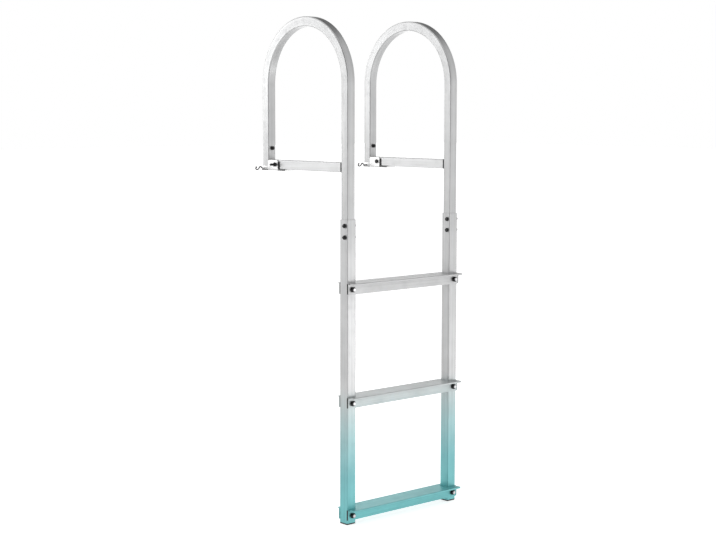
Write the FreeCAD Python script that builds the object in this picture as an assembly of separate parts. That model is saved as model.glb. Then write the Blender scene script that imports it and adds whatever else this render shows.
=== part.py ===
import FreeCAD, Part
import os

os.makedirs("parts", exist_ok=True)

# Dock ladder, all sizes in mm.
# Origin: centre of the underside of the left deck bracket, on the deck.
# +X runs along the treads to the right bracket, +Y runs inland over the dock, +Z is up.

# Layout
stile_spacing = 375.0
hoop_depth = 325.0
bend_centre_z = 233.5
tread_pitch = 300.0

# Upper square tube: the two hoops and the two deck bars
tube = 25.4
tube_wall = 2.0
tube_corner = 2.4

# Lower square tube: the two stiles, which the hoops slide into
stile = 30.0
stile_wall = 2.0
stile_corner = 2.6
inner_corner_ease = 0.4
stile_top = 118.5
stile_length = 803.0
stile_below_tread = 8.0
splice_overlap = 92.0

# Clearances
seat_gap = 0.3
hole_gap = 0.3
plug_gap = 0.2
thread_gap = 0.05

# Treads: a top plate with two hanging flanges that straddle the stile
tread_nose = 24.0
tread_lip = 10.0
tread_plate = 3.0
tread_flange = 3.0
tread_height = 30.0
tread_end_inset = 3.0
tread_bead_height = 5.0
tread_bead = 3.5
tread_bead_flat = 0.1
tread_bolt_drop = 17.0

# Deck bracket: a channel with tall ears at the bar and low walls at the leg
bracket_length = 100.0
bracket_plate = 3.0
bracket_wall = 3.0
ear_start = 31.0
ear_length = 41.0
ear_height = 28.0
ear_corner = 5.0
low_wall_height = 12.0
leg_rear_margin = 0.3
deck_hole = 5.5
deck_hole_sink = 10.0
deck_hole_first = 9.0
deck_hole_pitch = 30.0
spigot_height = 78.0
spigot_corner = 1.0
bar_lift = 0.4

# Deck bar ends
bar_front_cap = 3.0
bar_rear_cap = 3.0
bar_to_leg = 5.3
cap_spigot = 18.0
cap_corner = 0.8
cap_to_bolt = 3.5
pad_length = 4.0
pad_thickness = 2.2
pad_height = 21.0

# Fasteners
m6 = 6.0
m6_hex = 10.0
m6_head = 4.0
m6_nut = 5.0
m8 = 8.0
m8_hex = 13.0
m8_head = 5.3
m8_nut = 6.5
hex_flat_share = 0.7
hex_crown_share = 0.92
thread_past_nut = 2.5
bracket_bolt_tail = 12.0
bracket_bolt_from_ear_front = 10.5
leg_bolt_height = 59.5
splice_bolt_first = 16.0
splice_bolt_pitch = 30.0
splice_bolt_forward = 5.5
screw = 4.8
screw_head = 9.0
screw_head_height = 2.6
screw_head_taper = 1.2
screw_length = 16.0

# Bent wire pin through the leg's foot: its hump and pull ring, as reach and rise from the bend
pin_wire = 3.0
pin_above_plate = 0.3
pin_inner_reach = 21.0
pin_past_wall = 6.0
pin_hump = [(3, 0.4), (6.2, 3.2), (9, 4.4), (12, 3), (14.5, -0.6)]
pin_ring = [(18.5, -3.1), (22.8, -2.9), (25.2, -0.4), (24, 2.6), (21, 2.8)]

# Foot plug in the stile's lower end
foot_cap = 4.0
foot_spigot = 14.0
foot_corner = 1.8
foot_core_corner = 1.0

# Overlap that joins the shapes of one piece
weld = 0.5

# Derived positions
half_tube = tube / 2
half_stile = stile / 2
leg_y = bracket_length / 2 - half_tube - leg_rear_margin
leg_front = leg_y - half_tube
stile_y = leg_y - hoop_depth
splice_bolt_y = stile_y - splice_bolt_forward
bracket_front = -bracket_length / 2
ear_front = bracket_front + ear_start
ear_rear = ear_front + ear_length
bracket_bolt_y = ear_front + bracket_bolt_from_ear_front
channel_inner = half_tube + seat_gap
channel_outer = channel_inner + bracket_wall
bar_bottom = bracket_plate + bar_lift
bar_mid_z = bar_bottom + half_tube
bar_front = stile_y + half_tube + bar_front_cap
bar_rear = leg_front - bar_to_leg - bar_rear_cap
stile_bottom = -stile_top - stile_length
lowest_tread_top = stile_bottom + stile_below_tread + tread_height
tread_tops = []
for i in (2, 1, 0):
    tread_tops.append(lowest_tread_top + i * tread_pitch)
m6_hole = m6 + 2 * hole_gap
m8_hole = m8 + 2 * hole_gap
screw_hole = screw + 2 * hole_gap
pin_hole = pin_wire + 2 * hole_gap
pin_height = bracket_plate + pin_above_plate + pin_hole / 2
mirror_x = stile_spacing / 2
X = FreeCAD.Vector(1, 0, 0)
Y = FreeCAD.Vector(0, 1, 0)
Z = FreeCAD.Vector(0, 0, 1)


def vec(x, y, z):
    return FreeCAD.Vector(x, y, z)


def box(x0, x1, y0, y1, z0, z1):
    return Part.makeBox(x1 - x0, y1 - y0, z1 - z0, vec(x0, y0, z0))


def rod(diameter, start, direction, length):
    return Part.makeCylinder(diameter / 2, length, start, direction)


def rounded_square(side, corner, x, y, z):
    """Flat square face with rounded corners, centred on x, y at height z."""
    h = side / 2
    k = h - corner
    a = h - corner * (1 - 0.5 ** 0.5)
    edges = []
    edges.append(Part.makeLine(vec(-k, -h, 0), vec(k, -h, 0)))
    edges.append(Part.Arc(vec(k, -h, 0), vec(a, -a, 0), vec(h, -k, 0)).toShape())
    edges.append(Part.makeLine(vec(h, -k, 0), vec(h, k, 0)))
    edges.append(Part.Arc(vec(h, k, 0), vec(a, a, 0), vec(k, h, 0)).toShape())
    edges.append(Part.makeLine(vec(k, h, 0), vec(-k, h, 0)))
    edges.append(Part.Arc(vec(-k, h, 0), vec(-a, a, 0), vec(-h, k, 0)).toShape())
    edges.append(Part.makeLine(vec(-h, k, 0), vec(-h, -k, 0)))
    edges.append(Part.Arc(vec(-h, -k, 0), vec(-a, -a, 0), vec(-k, -h, 0)).toShape())
    face = Part.Face(Part.Wire(edges))
    face.translate(vec(x, y, z))
    return face


def tube_section(side, wall, corner, x, y, z):
    outer = rounded_square(side, corner, x, y, z)
    inner = rounded_square(side - 2 * wall, corner - wall + inner_corner_ease, x, y, z)
    return outer.cut(inner).Faces[0]


def hexagon(across_flats, height, start, direction):
    """Hexagonal prism with its outer end turned to a slight dome."""
    r = across_flats / 3 ** 0.5
    points = []
    for i in range(7):
        points.append(FreeCAD.Rotation(Z, 60 * i).multVec(vec(r, 0, 0)))
    prism = Part.Face(Part.makePolygon(points)).extrude(vec(0, 0, height))
    crown = Part.makeCone(r + height, across_flats / 2 * hex_crown_share, height, vec(0, 0, 0), Z)
    flat = Part.makeCylinder(2 * r, height * hex_flat_share, vec(0, 0, 0), Z)
    solid = prism.common(flat.fuse(crown))
    solid.Placement = FreeCAD.Placement(start, FreeCAD.Rotation(Z, direction))
    return solid


def bolt(diameter, flats, head, start, direction, length):
    """Hex bolt: start is under the head, direction is the way the shank runs."""
    shank = rod(diameter, start - direction * weld, direction, length + weld)
    head_solid = hexagon(flats, head, start, direction * -1)
    return head_solid.fuse(shank).removeSplitter()


def nut(diameter, flats, height, start, direction):
    """Hex nut seated at start, standing out along direction."""
    hole = rod(diameter + 2 * thread_gap, start - direction, direction, height + 2)
    return hexagon(flats, height, start, direction).cut(hole)


def flipped(shape):
    return shape.mirror(vec(mirror_x, 0, 0), X)


def save(name, shape):
    shape.exportStep("parts/" + name + ".step")


def both_sides(name, shape):
    save("left_" + name, shape)
    save("right_" + name, flipped(shape))


# Hoop: a bent tube, rear leg on the bracket, front leg down into the stile.
# It is one tube, kept as two straight legs and the bend between them.
section = tube_section(tube, tube_wall, tube_corner, 0, stile_y, bend_centre_z)
front_leg_end = -stile_top - splice_overlap
front_leg = section.extrude(vec(0, 0, front_leg_end - bend_centre_z))
bend = section.revolve(vec(0, stile_y + hoop_depth / 2, bend_centre_z), X, -180)
rear_section = tube_section(tube, tube_wall, tube_corner, 0, leg_y, bend_centre_z)
rear_leg = rear_section.extrude(vec(0, 0, bracket_plate - bend_centre_z))

splice_heights = []
for i in range(2):
    splice_heights.append(-stile_top - splice_bolt_first - i * splice_bolt_pitch)
for height in splice_heights:
    front_leg = front_leg.cut(rod(m6_hole, vec(-stile, splice_bolt_y, height), X, 2 * stile))
front_leg = front_leg.cut(rod(screw_hole, vec(0, stile_y, bar_mid_z), Y, tube))
rear_leg = rear_leg.cut(rod(m6_hole, vec(0, leg_y - tube, leg_bolt_height), Y, 2 * tube))
rear_leg = rear_leg.cut(rod(pin_hole, vec(-tube, leg_y, pin_height), X, 2 * tube))
both_sides("hoop_front_leg", front_leg)
both_sides("hoop_bend", bend)
both_sides("hoop_rear_leg", rear_leg)

# Stile: the larger square tube below the deck
stile_section = tube_section(stile, stile_wall, stile_corner, 0, stile_y, stile_bottom)
stile_tube = stile_section.extrude(vec(0, 0, stile_length))
for height in splice_heights:
    stile_tube = stile_tube.cut(rod(m6_hole, vec(-stile, splice_bolt_y, height), X, 2 * stile))
for top in tread_tops:
    start = vec(0, stile_y - stile, top - tread_bolt_drop)
    stile_tube = stile_tube.cut(rod(m8_hole, start, Y, 2 * stile))
both_sides("stile", stile_tube)

# Foot plug in the open lower end of each stile
bore = stile - 2 * stile_wall
foot = rounded_square(stile, stile_corner, 0, stile_y, stile_bottom - foot_cap)
foot = foot.extrude(vec(0, 0, foot_cap))
rim = []
for edge in foot.Edges:
    if edge.BoundBox.ZMax < stile_bottom - foot_cap / 2:
        rim.append(edge)
foot = foot.makeFillet(foot_corner, rim)
core = rounded_square(bore - 2 * plug_gap, foot_core_corner, 0, stile_y, stile_bottom - weld)
foot = foot.fuse(core.extrude(vec(0, 0, foot_spigot + weld))).removeSplitter()
both_sides("foot_plug", foot)

# Treads, notched round the stiles
flange_in = half_stile + seat_gap
flange_out = flange_in + tread_flange
outer_left = -half_stile
outer_right = stile_spacing + half_stile
nose_y = stile_y - half_stile - tread_nose
lip_y = stile_y + half_stile + tread_lip
tread_names = ["upper_tread", "middle_tread", "lower_tread"]
bolt_grip = 2 * flange_out
for name, top in zip(tread_names, tread_tops):
    plate_left = outer_left + tread_end_inset
    plate_right = outer_right - tread_end_inset
    plate = box(plate_left, plate_right, nose_y, lip_y, top - tread_plate, top)
    bead = box(plate_left, plate_right, nose_y, nose_y + tread_bead, top - tread_bead_height, top)
    low = top - tread_height
    front = box(outer_left, outer_right, stile_y - flange_out, stile_y - flange_in, low, top)
    rear = box(outer_left, outer_right, stile_y + flange_in, stile_y + flange_out, low, top)
    tread = plate.fuse([bead, front, rear]).removeSplitter()
    for x in (0, stile_spacing):
        inward = 1 if x == 0 else -1
        ends = sorted((x - inward * stile, x + inward * (half_stile + seat_gap)))
        notch = box(ends[0], ends[1], stile_y - flange_in, stile_y + flange_in, low, top + 1)
        tread = tread.cut(notch)
        tread = tread.cut(rod(m8_hole, vec(x, stile_y - stile, top - tread_bolt_drop), Y, 2 * stile))
    long_edges = []
    for edge in tread.Edges:
        e = edge.BoundBox
        at_nose = abs(e.YMin - nose_y) < 0.01 and abs(e.YMax - nose_y) < 0.01
        if at_nose and e.XLength > stile_spacing / 2:
            long_edges.append(edge)
    tread = tread.makeFillet(tread_bead / 2 - tread_bead_flat, long_edges)
    save(name, tread)
    bolts = []
    nuts = []
    for x in (0, stile_spacing):
        head_at = vec(x, stile_y + flange_out, top - tread_bolt_drop)
        nut_at = vec(x, stile_y - flange_out, top - tread_bolt_drop)
        bolts.append(bolt(m8, m8_hex, m8_head, head_at, Y * -1, bolt_grip + m8_nut + thread_past_nut))
        nuts.append(nut(m8, m8_hex, m8_nut, nut_at, Y * -1))
    save(name + "_bolts", Part.makeCompound(bolts))
    save(name + "_nuts", Part.makeCompound(nuts))

# Splice bolts: heads on the inside of each stile, nuts on the outside
bolts = []
nuts = []
splice_bolt_length = stile + m6_nut + thread_past_nut
for height in splice_heights:
    bolt_start = vec(half_stile, splice_bolt_y, height)
    nut_start = vec(-half_stile, splice_bolt_y, height)
    bolts.append(bolt(m6, m6_hex, m6_head, bolt_start, X * -1, splice_bolt_length))
    nuts.append(nut(m6, m6_hex, m6_nut, nut_start, X * -1))
both_sides("splice_bolts", Part.makeCompound(bolts))
both_sides("splice_nuts", Part.makeCompound(nuts))

# Deck bar: square tube from the stile to between the bracket's ears
bar_length = bar_rear - bar_front
bar_section = tube_section(tube, tube_wall, tube_corner, 0, 0, 0)
bar = bar_section.extrude(vec(0, 0, bar_length))
bar.Placement = FreeCAD.Placement(vec(0, bar_front, bar_mid_z), FreeCAD.Rotation(Z, Y))
bar = bar.cut(rod(m6_hole, vec(-tube, bracket_bolt_y, bar_mid_z), X, 2 * tube))
both_sides("deck_bar", bar)

# Plastic caps in both ends of the bar
bar_bore = tube - 2 * tube_wall


def bar_cap(face_y, direction, thickness, spigot):
    """Cap whose flange lies against the bar's end at face_y and stands out along direction."""
    flange = rounded_square(tube, tube_corner, 0, 0, 0).extrude(vec(0, 0, thickness))
    core = rounded_square(bar_bore - 2 * plug_gap, cap_corner, 0, 0, -spigot)
    cap = flange.fuse(core.extrude(vec(0, 0, spigot + weld))).removeSplitter()
    cap.Placement = FreeCAD.Placement(vec(0, face_y, bar_mid_z), FreeCAD.Rotation(Z, direction))
    return cap


front_cap = bar_cap(bar_front, Y * -1, bar_front_cap, cap_spigot)
pilot_y = stile_y + half_tube - 1
front_cap = front_cap.cut(rod(screw + 2 * thread_gap, vec(0, pilot_y, bar_mid_z), Y, screw_length))
rear_spigot = bar_rear - bracket_bolt_y - m6 / 2 - cap_to_bolt
rear_cap = bar_cap(bar_rear, Y, bar_rear_cap, rear_spigot)
both_sides("bar_caps", Part.makeCompound([front_cap, rear_cap]))

# Screw from inside the hoop tube into the bar's front cap
screw_seat = stile_y + half_tube - tube_wall
screw_shank = rod(screw, vec(0, screw_seat - weld, bar_mid_z), Y, screw_length)
small_radius = screw_head / 2 - screw_head_taper
head_start = vec(0, screw_seat - screw_head_height, bar_mid_z)
head = Part.makeCone(small_radius, screw_head / 2, screw_head_height, head_start, Y)
both_sides("bar_screw", head.fuse(screw_shank).removeSplitter())

# Pads on the bar's flanks in front of the ears
pads = []
pad_top = bracket_plate + pad_height
for side in (-1, 1):
    x0 = min(side * half_tube, side * (half_tube + pad_thickness))
    pads.append(box(x0, x0 + pad_thickness, ear_front - pad_length, ear_front, bracket_plate, pad_top))
both_sides("bar_pads", Part.makeCompound(pads))

# Deck bracket
base = box(-channel_outer, channel_outer, bracket_front, bracket_length / 2, 0, bracket_plate)
pieces = []
for side in (-1, 1):
    x0 = min(side * channel_inner, side * channel_outer)
    ear = box(x0, x0 + bracket_wall, ear_front, ear_rear, 0, ear_height)
    tops = []
    for edge in ear.Edges:
        e = edge.BoundBox
        if e.ZMin > ear_height - 0.01 and e.XLength > bracket_wall / 2 and e.YLength < 0.01:
            tops.append(edge)
    ear = ear.makeFillet(ear_corner, tops)
    low = box(x0, x0 + bracket_wall, ear_rear - weld, bracket_length / 2, 0, low_wall_height)
    pieces.append(ear)
    pieces.append(low)
spigot_side = tube - 2 * tube_wall - 2 * seat_gap
spigot = rounded_square(spigot_side, spigot_corner, 0, leg_y, bracket_plate - weld)
pieces.append(spigot.extrude(vec(0, 0, spigot_height - bracket_plate + weld)))
bracket = base.fuse(pieces).removeSplitter()
bracket = bracket.cut(rod(m6_hole, vec(-tube, bracket_bolt_y, bar_mid_z), X, 2 * tube))
bracket = bracket.cut(rod(m6_hole, vec(0, leg_y - tube, leg_bolt_height), Y, 2 * tube))
bracket = bracket.cut(rod(pin_hole, vec(-tube, leg_y, pin_height), X, 2 * tube))
sink_depth = (deck_hole_sink - deck_hole) / 2
for i in range(2):
    y = bracket_front + deck_hole_first + i * deck_hole_pitch
    bracket = bracket.cut(rod(deck_hole, vec(0, y, -1), Z, bracket_plate + 2))
    sink_start = vec(0, y, bracket_plate - sink_depth)
    bracket = bracket.cut(Part.makeCone(deck_hole / 2, deck_hole_sink / 2, sink_depth, sink_start, Z))
both_sides("deck_bracket", bracket)

# Bracket bolt: head on the inner ear, nut and a long thread tail on the outer ear
bolt_start = vec(channel_outer, bracket_bolt_y, bar_mid_z)
nut_start = vec(-channel_outer, bracket_bolt_y, bar_mid_z)
bolt_length = 2 * channel_outer + m6_nut + bracket_bolt_tail
both_sides("bracket_bolt", bolt(m6, m6_hex, m6_head, bolt_start, X * -1, bolt_length))
both_sides("bracket_nut", nut(m6, m6_hex, m6_nut, nut_start, X * -1))

# Leg bolt through the rear leg and the spigot inside it, its nut on the front
bolt_start = vec(0, leg_y + half_tube, leg_bolt_height)
nut_start = vec(0, leg_front, leg_bolt_height)
bolt_length = tube + m6_nut + thread_past_nut
both_sides("leg_bolt", bolt(m6, m6_hex, m6_head, bolt_start, Y * -1, bolt_length))
both_sides("leg_nut", nut(m6, m6_hex, m6_nut, nut_start, Y * -1))

# Bent wire pin: straight through the foot, then a hump and a pull loop beside it
start_x = -channel_outer - pin_past_wall
points = [vec(start_x, leg_y, pin_height)]
for reach, lift in pin_hump + pin_ring:
    points.append(vec(start_x - reach, leg_y, pin_height + lift))
curve = Part.BSplineCurve()
curve.interpolate(Points=points, InitialTangent=vec(-1, 0, 0), FinalTangent=vec(1, 0, -0.4))
pin_end = vec(pin_inner_reach, leg_y, pin_height)
path = Part.Wire([Part.makeLine(pin_end, points[0]), curve.toShape()])
ring = Part.Wire([Part.makeCircle(pin_wire / 2, pin_end, X)])
pin = path.makePipeShell([ring], True, False)
if pin.ShapeType != "Solid":
    pin = Part.Solid(pin.Shells[0])
save("left_wire_pin", pin)
moved = pin.copy()
moved.translate(vec(stile_spacing, 0, 0))
save("right_wire_pin", moved)
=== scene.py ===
import math

import bmesh
import bpy
from mathutils import Matrix, Vector


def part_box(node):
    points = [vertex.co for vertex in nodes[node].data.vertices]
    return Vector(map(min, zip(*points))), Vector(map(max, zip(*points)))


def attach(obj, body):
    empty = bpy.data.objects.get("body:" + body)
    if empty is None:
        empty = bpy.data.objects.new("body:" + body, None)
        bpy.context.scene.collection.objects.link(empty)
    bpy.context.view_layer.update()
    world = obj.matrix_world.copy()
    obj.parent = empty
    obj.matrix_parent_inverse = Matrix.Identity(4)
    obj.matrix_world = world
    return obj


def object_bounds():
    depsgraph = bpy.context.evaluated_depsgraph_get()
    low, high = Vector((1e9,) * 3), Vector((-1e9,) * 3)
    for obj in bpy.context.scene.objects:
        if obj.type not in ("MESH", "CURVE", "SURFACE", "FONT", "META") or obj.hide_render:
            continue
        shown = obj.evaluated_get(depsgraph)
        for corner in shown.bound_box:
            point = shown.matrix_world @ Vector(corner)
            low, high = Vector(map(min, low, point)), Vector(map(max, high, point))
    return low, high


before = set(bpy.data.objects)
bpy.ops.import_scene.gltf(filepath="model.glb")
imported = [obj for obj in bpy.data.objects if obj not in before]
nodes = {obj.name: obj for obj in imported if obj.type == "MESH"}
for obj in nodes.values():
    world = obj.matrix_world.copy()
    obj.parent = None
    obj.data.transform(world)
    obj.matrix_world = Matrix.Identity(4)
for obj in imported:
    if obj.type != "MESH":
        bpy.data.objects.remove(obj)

cad_lo, cad_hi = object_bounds()

# Sizes that the finishes and small pieces share with the ladder, in metres.
STILE_SPACING = 0.375
HALF_TUBE = 0.0127
HALF_STILE = 0.015
STILE_Y = -0.288
LEG_Y = 0.037
BEND_CENTRE_Y = (STILE_Y + LEG_Y) / 2
BEND_RADIUS = (LEG_Y - STILE_Y) / 2
BEND_CENTRE_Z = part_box("left_hoop_bend")[1].z - BEND_RADIUS - HALF_TUBE
BAR_MID_Z = (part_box("left_deck_bar")[0].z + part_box("left_deck_bar")[1].z) / 2

# Painted blue-green light of the water on the lowest part: how strongly it shows, 0 for bare metal, and the
# heights it lies between.
# Each step is a share of the way up, with the colour that it gives.
TINT_STRENGTH = 1.0
TINT_FULL_Z = -0.90
TINT_START_Z = -0.56
TINT_STEPS = (
    (0.0, (0.36, 0.98, 1.0)),
    (0.3, (0.40, 0.92, 0.96)),
    (0.6, (0.65, 0.98, 1.0)),
    (0.85, (0.90, 1.0, 1.0)),
    (1.0, (1.0, 1.0, 1.0)),
)

# Drawn aluminium: cells of its pattern a metre, over a piece and along it, and each pattern's share in the
# tone and in the grain's height.
LINE_CELLS = (420.0, 4.0)
BAND_CELLS = (220.0, 2.0)
MOTTLE_SCALE = 16.0
SMUDGE_SCALE = 55.0
LINE_TONE = 0.20
BAND_TONE = 0.45
MOTTLE_TONE = 0.35
LINE_HEIGHT = 0.4
BAND_HEIGHT = 0.6
GRAIN_DEPTH = 0.00001
GRAIN_STRENGTH = 0.4
TONE_FADE = (0.38, 0.62)
SMUDGE_FADE = (0.50, 0.75)
ROUGHNESS_SWING = 0.05
ROUGHNESS_SHIFT = 0.04
CORNER_FADE = (0.84, 0.97)
CORNER_SHARE = 0.30
CORNER_GAIN = 1.15
CORNER_POLISH = 0.03


class Finish:
    """A principled material and short helpers for its nodes."""

    def __init__(self, name):
        self.material = bpy.data.materials.new(name)
        self.material.use_nodes = True
        self.tree = self.material.node_tree
        self.tree.nodes.clear()
        output = self.tree.nodes.new("ShaderNodeOutputMaterial")
        self.shader = self.tree.nodes.new("ShaderNodeBsdfPrincipled")
        self.tree.links.new(self.shader.outputs["BSDF"], output.inputs["Surface"])
        self.place = self.tree.nodes.new("ShaderNodeTexCoord").outputs["Object"]
        split = self.tree.nodes.new("ShaderNodeSeparateXYZ")
        self.tree.links.new(self.place, split.inputs[0])
        self.x, self.y, self.z = split.outputs

    def feed(self, value, socket):
        if isinstance(value, bpy.types.NodeSocket):
            self.tree.links.new(value, socket)
        else:
            socket.default_value = value

    def math(self, operation, a, b=0.0, c=0.0):
        node = self.tree.nodes.new("ShaderNodeMath")
        node.operation = operation
        for value, socket in zip((a, b, c), node.inputs):
            self.feed(value, socket)
        return node.outputs[0]

    def spread(self, value, low, high, to_low=0.0, to_high=1.0, smooth=True):
        """Maps low..high to to_low..to_high, held at both ends."""
        node = self.tree.nodes.new("ShaderNodeMapRange")
        node.interpolation_type = "SMOOTHSTEP" if smooth else "LINEAR"
        for item, socket in zip((value, low, high, to_low, to_high), node.inputs):
            self.feed(item, socket)
        return node.outputs[0]

    def point(self, x, y, z):
        node = self.tree.nodes.new("ShaderNodeCombineXYZ")
        for value, socket in zip((x, y, z), node.inputs):
            self.feed(value, socket)
        return node.outputs[0]

    def stretched(self, u, v, w, across, along):
        """A point for a pattern of `across` cells a metre over a piece and `along` a metre down it."""
        pairs = ((u, across), (v, across), (w, along))
        return self.point(*(self.math("MULTIPLY", value, cells) for value, cells in pairs))

    def noise(self, where, scale, detail=2.0, roughness=0.5):
        node = self.tree.nodes.new("ShaderNodeTexNoise")
        self.feed(where, node.inputs["Vector"])
        node.inputs["Scale"].default_value = scale
        node.inputs["Detail"].default_value = detail
        node.inputs["Roughness"].default_value = roughness
        return node.outputs["Fac"]

    def mix(self, share, a, b, blend="MIX"):
        node = self.tree.nodes.new("ShaderNodeMix")
        node.data_type = "RGBA"
        node.blend_type = blend
        self.feed(share, node.inputs[0])
        for value, socket in ((a, node.inputs[6]), (b, node.inputs[7])):
            if isinstance(value, tuple):
                value = (*value, 1.0)
            self.feed(value, socket)
        return node.outputs[2]

    def bump(self, height, distance, strength=1.0):
        node = self.tree.nodes.new("ShaderNodeBump")
        node.inputs["Distance"].default_value = distance
        node.inputs["Strength"].default_value = strength
        self.feed(height, node.inputs["Height"])
        return node.outputs["Normal"]

    def set(self, socket, value):
        self.feed((*value, 1.0) if isinstance(value, tuple) else value, self.shader.inputs[socket])

    def mirrored_x(self):
        """X measured from the nearer stile's centre, the same on both sides."""
        off_centre = self.math("ABSOLUTE", self.math("SUBTRACT", self.x, STILE_SPACING / 2))
        return self.math("SUBTRACT", off_centre, STILE_SPACING / 2)


def painted_water_light(finish, colour):
    """Blue-green that deepens towards the lower end, as on the photograph's lowest part."""
    # Painted water light: a blue-green cast that the metal itself doesn't have.
    node = finish.tree.nodes.new("ShaderNodeValToRGB")
    ramp = node.color_ramp
    while len(ramp.elements) < len(TINT_STEPS):
        ramp.elements.new(0.5)
    for element, (position, tone) in zip(ramp.elements, TINT_STEPS):
        element.position = position
        element.color = (*tone, 1.0)
    height = finish.spread(finish.z, TINT_FULL_Z, TINT_START_Z, smooth=False)
    finish.feed(height, node.inputs[0])
    return finish.mix(TINT_STRENGTH, colour, node.outputs[0], "MULTIPLY")


def drawn_metal(name, dark, light, across, along, edge, roughness, metallic, water_lit=False):
    """Satin aluminium drawn through a die: fine lines along the piece, soft mottling and brighter edges."""
    f = Finish(name)
    u, v = across(f)
    w = along(f)
    lines = f.noise(f.stretched(u, v, w, *LINE_CELLS), 1.0)
    bands = f.noise(f.stretched(u, v, w, *BAND_CELLS), 1.0)
    mottle = f.noise(f.place, MOTTLE_SCALE)
    smudge = f.spread(f.noise(f.place, SMUDGE_SCALE, 1.0), *SMUDGE_FADE)
    tone = f.math("ADD", f.math("MULTIPLY", lines, LINE_TONE), f.math("MULTIPLY", bands, BAND_TONE))
    tone = f.math("ADD", tone, f.math("MULTIPLY", mottle, MOTTLE_TONE))
    colour = f.mix(f.spread(tone, *TONE_FADE), dark, light)
    corner = edge(f, u, v)
    corner_light = tuple(min(1.0, c * CORNER_GAIN) for c in light)
    colour = f.mix(f.math("MULTIPLY", corner, CORNER_SHARE), colour, corner_light)
    # Painted blue-green light of the water on the lowest part.
    if water_lit:
        colour = painted_water_light(f, colour)
    f.set("Base Color", colour)
    line_swing = f.math("MULTIPLY", lines, ROUGHNESS_SWING)
    smudge_swing = f.math("MULTIPLY", smudge, ROUGHNESS_SWING)
    rough = f.math("ADD", f.math("ADD", line_swing, smudge_swing), roughness - ROUGHNESS_SHIFT)
    f.set("Roughness", f.math("SUBTRACT", rough, f.math("MULTIPLY", corner, CORNER_POLISH)))
    f.set("Metallic", metallic)
    height = f.math("ADD", f.math("MULTIPLY", lines, LINE_HEIGHT), f.math("MULTIPLY", bands, BAND_HEIGHT))
    f.set("Normal", f.bump(height, GRAIN_DEPTH, GRAIN_STRENGTH))
    return f.material


def corner_mask(half_side, centre_v=0.0):
    """One along the corners of a square tube, fading to zero over its faces."""
    def mask(f, u, v):
        a = f.math("DIVIDE", f.math("ABSOLUTE", u), half_side)
        b = f.math("DIVIDE", f.math("ABSOLUTE", f.math("SUBTRACT", v, centre_v)), half_side)
        return f.spread(f.math("MINIMUM", a, b), *CORNER_FADE)
    return mask


def from_bend_centre(f):
    """Y and height from the bend's centre, with the height held at zero along the straight legs."""
    side = f.math("SUBTRACT", f.y, BEND_CENTRE_Y)
    rise = f.math("MAXIMUM", f.math("SUBTRACT", f.z, BEND_CENTRE_Z), 0.0)
    return side, rise


def hoop_across(f):
    """Mirrored X, and the distance from the bend's axis, which is constant along the bent tube."""
    side, rise = from_bend_centre(f)
    square = f.math("ADD", f.math("MULTIPLY", rise, rise), f.math("MULTIPLY", side, side))
    return f.mirrored_x(), f.math("SQRT", square)


def hoop_along(f):
    """The way along the tube, straight up the legs and round the bend."""
    side, rise = from_bend_centre(f)
    turned = f.math("MULTIPLY", f.math("ARCTAN2", side, rise), BEND_RADIUS)
    return f.math("ADD", f.math("MINIMUM", f.z, BEND_CENTRE_Z), turned)


ALUMINIUM_DARK = (0.43, 0.432, 0.434)
ALUMINIUM_MID = (0.50, 0.502, 0.504)
ALUMINIUM_LIGHT = (0.57, 0.572, 0.574)
rail = drawn_metal("rail_finish", ALUMINIUM_DARK, ALUMINIUM_MID, hoop_across, hoop_along,
                   corner_mask(HALF_TUBE, BEND_RADIUS), 0.40, 0.85)
bar_metal = drawn_metal("bar_finish", ALUMINIUM_MID, ALUMINIUM_LIGHT,
                        lambda f: (f.mirrored_x(), f.math("SUBTRACT", f.z, BAR_MID_Z)), lambda f: f.y,
                        corner_mask(HALF_TUBE), 0.40, 0.85)
stile_metal = drawn_metal("stile_finish", ALUMINIUM_DARK, ALUMINIUM_MID,
                          lambda f: (f.mirrored_x(), f.math("SUBTRACT", f.y, STILE_Y)), lambda f: f.z,
                          corner_mask(HALF_STILE), 0.42, 0.85, water_lit=True)
tread_metal = drawn_metal("tread_finish", ALUMINIUM_DARK, ALUMINIUM_MID,
                          lambda f: (f.y, f.z), lambda f: f.x,
                          lambda f, u, v: 0.0, 0.46, 0.80, water_lit=True)


# Steel: how its grain is drawn out along X, Y and Z, the pattern of its tone, and the grain's height.
EVEN_GRAIN = (1.0, 1.0, 1.0)
ROLLED_GRAIN = (1.0, 0.06, 1.0)
DRAWN_GRAIN = (0.1, 1.0, 1.0)
STEEL_CLOUD_SCALE = 70.0
STEEL_TONE_FADE = (0.36, 0.64)
STEEL_ROUGHNESS_SWING = 0.16
STEEL_GRAIN_DEPTH = 0.00004
STEEL_GRAIN_STRENGTH = 0.6
EDGE_SHADE = (0.02, 0.02, 0.02)


def plate_metal(name, dark, light, roughness, scale, metallic, stretch, painted_shade=None):
    """Rolled or turned steel: a fine grain in one direction, a cloudy tone and, where asked, painted shade.
    """
    f = Finish(name)
    pairs = zip((f.x, f.y, f.z), stretch)
    grain_place = f.point(*(f.math("MULTIPLY", axis, share) for axis, share in pairs))
    grain = f.noise(grain_place, scale, 3.0, 0.6)
    cloud = f.noise(f.place, STEEL_CLOUD_SCALE, 4.0, 0.6)
    tone = f.math("ADD", f.math("MULTIPLY", grain, 0.5), f.math("MULTIPLY", cloud, 0.5))
    colour = f.mix(f.spread(tone, *STEEL_TONE_FADE), dark, light)
    # Painted shade on the edges that the mask picks out.
    if painted_shade:
        colour = f.mix(painted_shade(f), colour, EDGE_SHADE)
    f.set("Base Color", colour)
    swing = f.math("MULTIPLY", cloud, STEEL_ROUGHNESS_SWING)
    f.set("Roughness", f.math("ADD", swing, roughness - STEEL_ROUGHNESS_SWING / 2))
    f.set("Metallic", metallic)
    f.set("Normal", f.bump(grain, STEEL_GRAIN_DEPTH, STEEL_GRAIN_STRENGTH))
    return f.material


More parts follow.
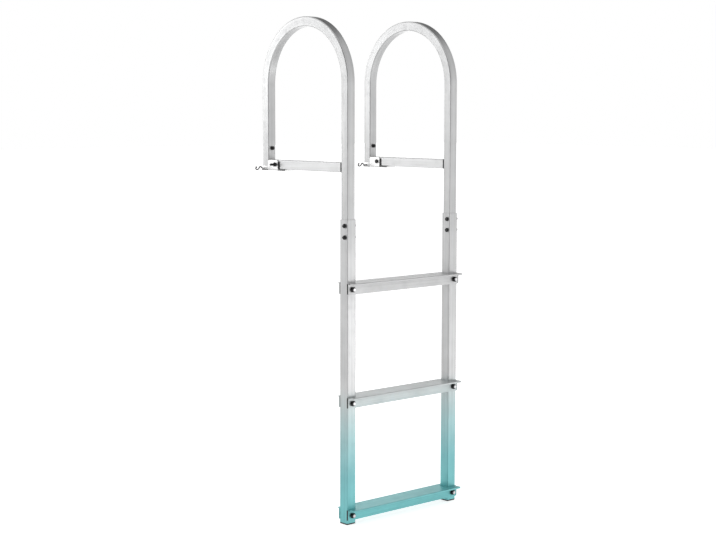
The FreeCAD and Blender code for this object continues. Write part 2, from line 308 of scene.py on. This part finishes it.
# Bracket, in metres: its base plate's top and half width, and its ears' middle and half length along Y.
BASE_PLATE_TOP = 0.003
HALF_BASE = 0.016
EAR_MIDDLE_Y = 0.0015
HALF_EAR = 0.0205


def bracket_edge_shade(f):
    """The base plate's side edges, darkened with painted shade, but fainter where an ear is bent up from
    them.
    """
    low = f.spread(f.z, BASE_PLATE_TOP - 0.0001, BASE_PLATE_TOP - 0.0005)
    side = f.spread(f.math("ABSOLUTE", f.mirrored_x()), HALF_BASE - 0.0006, HALF_BASE - 0.0002)
    from_ear = f.math("ABSOLUTE", f.math("SUBTRACT", f.y, EAR_MIDDLE_Y))
    free = f.spread(from_ear, HALF_EAR - 0.001, HALF_EAR + 0.001, 0.4, 1.0)
    return f.math("MULTIPLY", f.math("MULTIPLY", low, side), free)


bracket_metal = plate_metal("bracket_finish", (0.70, 0.70, 0.70), (0.82, 0.82, 0.82),
                            0.38, 1500.0, 0.9, ROLLED_GRAIN, bracket_edge_shade)
bright_steel = plate_metal("bright_fastener_finish", (0.50, 0.50, 0.51), (0.62, 0.62, 0.63),
                           0.36, 1800.0, 0.95, EVEN_GRAIN)
dark_steel = plate_metal("dark_fastener_finish", (0.012, 0.012, 0.013), (0.035, 0.035, 0.036),
                         0.40, 1800.0, 0.6, EVEN_GRAIN)
wire_metal = plate_metal("wire_finish", (0.008, 0.008, 0.009), (0.022, 0.022, 0.023),
                         0.45, 900.0, 0.6, DRAWN_GRAIN)


PLASTIC_BLACK = (0.018, 0.018, 0.019)
PLASTIC_RUBBED = (0.045, 0.046, 0.047)
PLASTIC_GRAIN_SCALE = 2200.0
PLASTIC_RUB_SCALE = 160.0
PLASTIC_GRAIN_DEPTH = 0.00008


def moulded_plastic(name):
    """Matt black plastic with a fine moulded texture and paler rubbed spots."""
    f = Finish(name)
    fine = f.noise(f.place, PLASTIC_GRAIN_SCALE)
    rubbed = f.spread(f.noise(f.place, PLASTIC_RUB_SCALE, 4.0, 0.6), 0.5, 0.75)
    f.set("Base Color", f.mix(rubbed, PLASTIC_BLACK, PLASTIC_RUBBED))
    f.set("Roughness", f.math("ADD", f.math("MULTIPLY", fine, 0.15), 0.45))
    f.set("Normal", f.bump(fine, PLASTIC_GRAIN_DEPTH, 0.5))
    return f.material


plastic = moulded_plastic("plastic_finish")

FINISH_OF_NODE = {
    "hoop_front_leg": rail,
    "hoop_bend": rail,
    "hoop_rear_leg": rail,
    "deck_bar": bar_metal,
    "stile": stile_metal,
    "_tread": tread_metal,
    "tread_bolts": bright_steel,
    "bar_screw": bright_steel,
    "deck_bracket": bracket_metal,
    "wire_pin": wire_metal,
    "bar_caps": plastic,
    "bar_pads": plastic,
    "foot_plug": plastic,
}


def finish_for(name):
    """The finish of a solid by the end of its name; all that isn't listed is a dark fastener."""
    for ending, material in FINISH_OF_NODE.items():
        if name.endswith(ending):
            return material
    return dark_steel


for name, node in nodes.items():
    for material_slot in node.material_slots:
        material_slot.material = finish_for(name)


def new_piece(mesh, material):
    """An object of the mesh's name, on the ladder's body and in the given material slot."""
    mesh.materials.append(material)
    piece = bpy.data.objects.new(mesh.name, mesh)
    bpy.context.scene.collection.objects.link(piece)
    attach(piece, "root")


# A thread's ridge: steps a turn, how far its foot lies under the shank's surface and its crest over it, and
# the shares of the pitch at which the crest and the ridge's end lie.
TURN_STEPS = 20
RIDGE_FOOT = 0.0002
RIDGE_CREST = 0.00025
CREST_SHARE = 0.45
RIDGE_SHARE = 0.9


def thread(name, start, direction, length, radius, pitch, material):
    """A helical ridge on the part of a shank that stands out of its nut."""
    steps = int(TURN_STEPS * (length - pitch) / pitch)
    turned = Vector((0, 0, 1)).rotation_difference(Vector(direction)).to_matrix()
    foot = radius - RIDGE_FOOT
    profile = ((foot, 0.0), (radius + RIDGE_CREST, pitch * CREST_SHARE), (foot, pitch * RIDGE_SHARE))
    vertices = []
    faces = []
    for i in range(steps + 1):
        angle = 2 * math.pi * i / TURN_STEPS
        for r, rise in profile:
            local = Vector((r * math.cos(angle), r * math.sin(angle), pitch * i / TURN_STEPS + rise))
            vertices.append(Vector(start) + turned @ local)
    for i in range(steps):
        for j in range(3):
            a = 3 * i + j
            b = 3 * i + (j + 1) % 3
            faces.append((a, b, b + 3, a + 3))
    faces.append((2, 1, 0))
    faces.append((3 * steps, 3 * steps + 1, 3 * steps + 2))
    mesh = bpy.data.meshes.new(name)
    mesh.from_pydata(vertices, [], faces)
    new_piece(mesh, material)


M6_RADIUS = 0.003
M6_PITCH = 0.001
M8_RADIUS = 0.004
M8_PITCH = 0.00125
HALF_NUT = 0.010 / math.sqrt(3)


def dark_thread(name, start, direction, length):
    """The thread of a dark M6 bolt."""
    thread(name, start, direction, length, M6_RADIUS, M6_PITCH, dark_steel)


def outward_threads(names, nut, bolt, sign, heights):
    """Threads that stand out of nuts on the ladder's outer sides, one at each of the heights."""
    nut_lo, nut_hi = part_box(nut)
    bolt_lo, bolt_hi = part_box(bolt)
    outer = nut_lo.x if sign < 0 else nut_hi.x
    end = bolt_lo.x if sign < 0 else bolt_hi.x
    mid_y = (nut_lo.y + nut_hi.y) / 2
    for name, z in zip(names, heights(nut_lo.z, nut_hi.z)):
        dark_thread(name, (outer, mid_y, z), (sign, 0, 0), abs(end - outer))


for side, sign in (("left", -1), ("right", 1)):
    outward_threads([side + "_bracket_thread"], side + "_bracket_nut", side + "_bracket_bolt", sign,
                    lambda low, high: [(low + high) / 2])
    nut_lo, nut_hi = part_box(side + "_leg_nut")
    bolt_lo, bolt_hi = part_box(side + "_leg_bolt")
    mid = (nut_lo + nut_hi) / 2
    dark_thread(side + "_leg_thread", (mid.x, nut_lo.y, mid.z), (0, -1, 0), nut_lo.y - bolt_lo.y)
    outward_threads([side + "_splice_thread_0", side + "_splice_thread_1"],
                    side + "_splice_nuts", side + "_splice_bolts", sign,
                    lambda low, high: [low + HALF_NUT, high - HALF_NUT])
for tread in ("upper", "middle", "lower"):
    nut_lo, nut_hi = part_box(tread + "_tread_nuts")
    bolt_lo, bolt_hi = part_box(tread + "_tread_bolts")
    z = (nut_lo.z + nut_hi.z) / 2
    for i, x in enumerate((0.0, STILE_SPACING)):
        thread(f"{tread}_tread_thread_{i}", (x, nut_lo.y, z), (0, -1, 0), nut_lo.y - bolt_lo.y,
               M8_RADIUS, M8_PITCH, bright_steel)


# Black strips at the treads' ends, painted shade for the dark gap between flange and stile: how far they
# stand past the tread's end, their depth, how far they stay in from its top and foot, their eased edges,
# and the gap to the stile behind them.
SHADE_STRIP_REACH = 0.0022
SHADE_STRIP_DEPTH = 0.0033
SHADE_STRIP_INSET = 0.0015
SHADE_STRIP_EASE = 0.0004
SHADE_STRIP_GAP = 0.0001


def shade_strip(name, lo, hi):
    """A small black piece with eased edges, filling the box lo..hi, put where there is painted shade."""
    shape = bmesh.new()
    bmesh.ops.create_cube(shape, size=1.0)
    size = Vector(hi) - Vector(lo)
    middle = (Vector(hi) + Vector(lo)) / 2
    for vertex in shape.verts:
        vertex.co = Vector(c * d for c, d in zip(vertex.co, size)) + middle
    bmesh.ops.bevel(shape, geom=shape.edges[:], offset=SHADE_STRIP_EASE, segments=3, profile=0.5, affect="EDGES")
    mesh = bpy.data.meshes.new(name)
    shape.to_mesh(mesh)
    shape.free()
    new_piece(mesh, plastic)


# Black strips on the treads' front flanges, in the corner between flange and stile: painted shade for the
# dark gap there.
shade_strip_rear = STILE_Y - HALF_STILE - SHADE_STRIP_GAP
for tread in ("upper", "middle", "lower"):
    tread_lo, tread_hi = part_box(tread + "_tread")
    ends = (("left", tread_lo.x - SHADE_STRIP_REACH, tread_lo.x), ("right", tread_hi.x, tread_hi.x + SHADE_STRIP_REACH))
    for end, x0, x1 in ends:
        # Each strip is a black piece put where the flange end sits in shade.
        shade_strip(f"{tread}_tread_{end}_trim", (x0, shade_strip_rear - SHADE_STRIP_DEPTH, tread_lo.z + SHADE_STRIP_INSET),
             (x1, shade_strip_rear, tread_hi.z - SHADE_STRIP_INSET))

# Floor under the ladder's feet, white to the camera and in reflections, with the ladder's shadow kept.
FLOOR_DROP = 0.0006
FLOOR_REACH = 30.0
FLOOR_GLOW = 0.75
WHITE = (1.0, 1.0, 1.0)


def shown_rays(rays, maths):
    """One for the rays that show the background: to the camera, in metal and through clear pieces."""
    shown = maths("MAXIMUM", rays["Is Camera Ray"], rays["Is Glossy Ray"])
    return maths("MAXIMUM", shown, rays["Is Transmission Ray"])


floor_mesh = bpy.data.meshes.new("floor")
floor_z = cad_lo.z - FLOOR_DROP
floor_signs = ((-1, -1), (1, -1), (1, 1), (-1, 1))
floor_corners = [(x * FLOOR_REACH, y * FLOOR_REACH, floor_z) for x, y in floor_signs]
floor_mesh.from_pydata(floor_corners, [], [(0, 1, 2, 3)])
floor = bpy.data.objects.new("floor", floor_mesh)
bpy.context.scene.collection.objects.link(floor)
floor_finish = Finish("floor_finish")
floor_finish.set("Roughness", 0.9)
floor_finish.set("Specular IOR Level", 0.1)
speckle = floor_finish.noise(floor_finish.place, 40.0, 3.0)
floor_finish.set("Base Color", floor_finish.mix(speckle, (0.80, 0.80, 0.80), (0.82, 0.82, 0.82)))
floor_rays = floor_finish.tree.nodes.new("ShaderNodeLightPath").outputs
floor_shown = shown_rays(floor_rays, floor_finish.math)
floor_finish.set("Emission Color", WHITE)
floor_finish.set("Emission Strength", floor_finish.math("MULTIPLY", floor_shown, FLOOR_GLOW))
floor_mesh.materials.append(floor_finish.material)

# Studio surroundings: white all round but for two dark panels, one high behind the ladder for the bends to
# mirror, and one behind the camera for the rounded corners of the tubes. The background behind the ladder
# stays white from every side.
AMBIENT_STRENGTH = 0.55
HIGH_PANEL_DIRECTION = (0.67, 0.40, 0.62)
HIGH_PANEL_FADE = (0.79, 0.96)
HIGH_PANEL_RISE = (0.12, 0.34)
NEAR_PANEL_DIRECTION = (-0.74, -0.67, 0.0)
NEAR_PANEL_FADE = (0.60, 0.85)
PANEL_STRENGTH = 0.12
world = bpy.data.worlds.new("studio")
bpy.context.scene.world = world
world.use_nodes = True
tree = world.node_tree
tree.nodes.clear()


def world_math(operation, *values):
    node = tree.nodes.new("ShaderNodeMath")
    node.operation = operation
    for value, socket in zip(values, node.inputs):
        if isinstance(value, bpy.types.NodeSocket):
            tree.links.new(value, socket)
        else:
            socket.default_value = value
    return node.outputs[0]


def world_fade(value, low, high):
    """Zero up to low, one from high on, and eased between them."""
    node = tree.nodes.new("ShaderNodeMapRange")
    node.interpolation_type = "SMOOTHSTEP"
    tree.links.new(value, node.inputs["Value"])
    node.inputs["From Min"].default_value = low
    node.inputs["From Max"].default_value = high
    return node.outputs[0]


output = tree.nodes.new("ShaderNodeOutputWorld")
ambient = tree.nodes.new("ShaderNodeBackground")
ambient.inputs["Color"].default_value = (*WHITE, 1.0)
ambient.inputs["Strength"].default_value = AMBIENT_STRENGTH
seen = tree.nodes.new("ShaderNodeBackground")
seen.inputs["Color"].default_value = (*WHITE, 1.0)
direction = tree.nodes.new("ShaderNodeTexCoord").outputs["Generated"]
direction_parts = tree.nodes.new("ShaderNodeSeparateXYZ")
tree.links.new(direction, direction_parts.inputs[0])


def panel_mask(middle, low, high):
    """One within the panel round the direction named middle, fading to zero outside it."""
    facing = tree.nodes.new("ShaderNodeVectorMath")
    facing.operation = "DOT_PRODUCT"
    tree.links.new(direction, facing.inputs[0])
    facing.inputs[1].default_value = middle
    return world_fade(facing.outputs["Value"], low, high)


high_panel = world_math("MULTIPLY", panel_mask(HIGH_PANEL_DIRECTION, *HIGH_PANEL_FADE),
                        world_fade(direction_parts.outputs["Z"], *HIGH_PANEL_RISE))
panels = world_math("MAXIMUM", high_panel, panel_mask(NEAR_PANEL_DIRECTION, *NEAR_PANEL_FADE))
rays = tree.nodes.new("ShaderNodeLightPath").outputs
mirrored = world_math("SUBTRACT", 1.0, rays["Is Camera Ray"])
darkness = world_math("MULTIPLY", world_math("MULTIPLY", panels, mirrored), 1.0 - PANEL_STRENGTH)
tree.links.new(world_math("SUBTRACT", 1.0, darkness), seen.inputs["Strength"])
choice = tree.nodes.new("ShaderNodeMixShader")
tree.links.new(shown_rays(rays, world_math), choice.inputs[0])
tree.links.new(ambient.outputs[0], choice.inputs[1])
tree.links.new(seen.outputs[0], choice.inputs[2])
tree.links.new(choice.outputs[0], output.inputs["Surface"])


def soft_lamp(name, place, aim, width, height, watts):
    """A plain rectangular lamp at a place, turned to face another, with its size and power."""
    data = bpy.data.lights.new(name, "AREA")
    data.shape = "RECTANGLE"
    data.size = width
    data.size_y = height
    data.energy = watts
    lamp = bpy.data.objects.new(name, data)
    lamp.location = place
    lamp.rotation_mode = "QUATERNION"
    lamp.rotation_quaternion = (Vector(aim) - Vector(place)).to_track_quat("-Z", "Y")
    bpy.context.scene.collection.objects.link(lamp)


soft_lamp("left_lamp", (-1.0, 1.36, 0.35), (0.19, -0.13, 0.2), 0.9, 0.6, 4.3)
soft_lamp("left_edge_lamp", (-1.50, 1.04, -0.30), (-0.015, -0.29, -0.15), 0.3, 1.2, 1.0)
soft_lamp("right_low_lamp", (1.23, -2.03, -0.78), (0.0, -0.3, -0.52), 0.7, 0.45, 5.0)
soft_lamp("right_high_lamp", (1.52, -1.77, 0.3), (0.19, -0.2, 0.2), 1.0, 0.5, 0.7)
soft_lamp("top_lamp", (0.2, -0.6, 2.6), (0.19, -0.15, -0.2), 1.6, 1.6, 1.5)
soft_lamp("rear_lamp", (1.6, 1.5, -0.3), (0.19, -0.29, -0.4), 1.0, 0.8, 2.4)
soft_lamp("high_rear_lamp", (1.6, 1.6, 0.35), (0.19, -0.1, 0.0), 1.0, 0.5, 2.6)

# Camera at the photograph's viewing angle.
PICTURE_WIDTH = 716
FOCAL_PIXELS = 1550.0
SENSOR = 36.0
camera_data = bpy.data.cameras.new("camera")
camera_data.sensor_fit = "HORIZONTAL"
camera_data.sensor_width = SENSOR
camera_data.lens = FOCAL_PIXELS / PICTURE_WIDTH * SENSOR
camera_data.clip_start = 0.05
camera_data.clip_end = 200.0
camera = bpy.data.objects.new("camera", camera_data)
bpy.context.scene.collection.objects.link(camera)
bpy.context.scene.camera = camera
CAMERA_PLACE = Vector((-2.66595, -3.28874, 0.17749))
CAMERA_YAW = math.radians(41.9934)
CAMERA_PITCH = math.radians(6.0846)
CAMERA_ROLL = math.radians(0.0954)
level = Vector((math.cos(CAMERA_YAW), -math.sin(CAMERA_YAW), 0.0))
ahead = Vector((math.sin(CAMERA_YAW), math.cos(CAMERA_YAW), 0.0))
look = ahead * math.cos(CAMERA_PITCH) - Vector((0.0, 0.0, math.sin(CAMERA_PITCH)))
upright = level.cross(look)
right = math.cos(CAMERA_ROLL) * level + math.sin(CAMERA_ROLL) * upright
up = math.cos(CAMERA_ROLL) * upright - math.sin(CAMERA_ROLL) * level
turn = Matrix((right, up, -look)).transposed()
camera.matrix_world = Matrix.Translation(CAMERA_PLACE) @ turn.to_4x4()

bpy.context.scene.view_settings.view_transform = "Standard"
